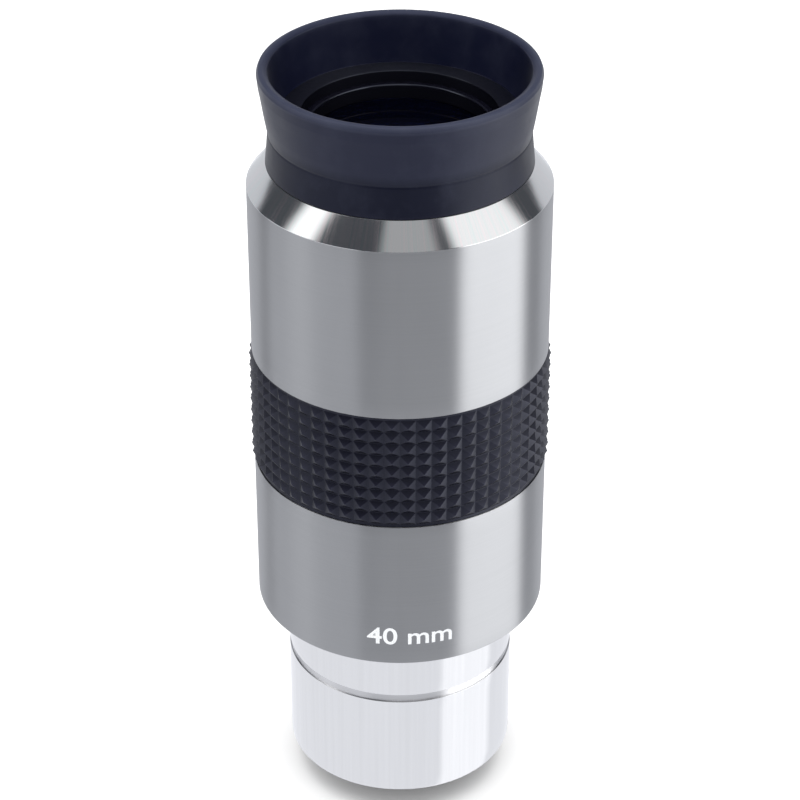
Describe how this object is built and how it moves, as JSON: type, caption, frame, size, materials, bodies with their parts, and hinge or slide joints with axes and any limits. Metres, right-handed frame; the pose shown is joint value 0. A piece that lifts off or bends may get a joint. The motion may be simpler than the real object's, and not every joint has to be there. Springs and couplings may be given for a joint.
{
  "type": "telescope eyepiece",
  "caption": "Push-fit telescope eyepiece with a chrome barrel, satin metal body, knurled rubber grip ring and a soft flared eyecup around the eye lens.",
  "frame": {"origin": "on the optical axis, at the open lower end of the barrel, which is the lowest point", "axes": "+Z along the optical axis, from the telescope towards the observer's eye; the eyepiece is round, so X and Y are free"},
  "size_m": [0.0406, 0.0406, 0.1054],
  "materials": {
    "barrel_chrome": "polished chrome plate over turned metal",
    "body_metal": "satin turned metal with fine circumferential lines, polished shoulder",
    "black_anodised": "black anodised, semi-matt",
    "grip_rubber": "moulded rubber with a grid of small square pyramids",
    "eyecup_rubber": "soft matt moulded rubber",
    "lens_glass": "polished optical glass with an anti-reflection coating",
    "white_print": "white screen-printed ink of the focal length mark"
  },
  "bodies": {
    "housing": {"body_shell": "body_metal", "grip_ring": "grip_rubber", "lens_cell": "black_anodised", "field_flint_lens": "lens_glass", "field_crown_lens": "lens_glass", "lens_spacer": "black_anodised", "eye_crown_lens": "lens_glass", "eye_flint_lens": "lens_glass", "lens_clamp_ring": "black_anodised"},
    "thread_carriage": {"field_stop_tube": "black_anodised", "field_stop": "black_anodised"},
    "barrel": {"barrel": "barrel_chrome"},
    "eyecup": {"eyecup_band": "eyecup_rubber", "eyecup_flare": "eyecup_rubber"},
    "eyecup_rim": {"eyecup_lip": "eyecup_rubber"}
  },
  "joints": [
    {"name": "barrel_advance", "type": "slide", "parent": "housing", "child": "thread_carriage", "axis": [0, 0, -1], "range_m": [0, 0.0045]},
    {"name": "barrel_unscrew", "type": "hinge", "parent": "thread_carriage", "child": "barrel", "pos_m": [0, 0, 0.0258], "axis": [0, 0, -1], "range_deg": [0, 2170]},
    {"name": "eyecup_turn", "type": "hinge", "parent": "housing", "child": "eyecup", "pos_m": [0, 0, 0.0937], "axis": [0, 0, 1], "continuous": true},
    {"name": "eyecup_press", "type": "slide", "parent": "eyecup", "child": "eyecup_rim", "axis": [0, 0, -1], "range_m": [0, 0.0045], "stiffness_N_per_m": 300, "deforming": ["eyecup_flare"]}
  ],
  "couplings": [
    {"joint": "barrel_unscrew", "follows": "barrel_advance", "rad_per_m": 8377.6}
  ]
}
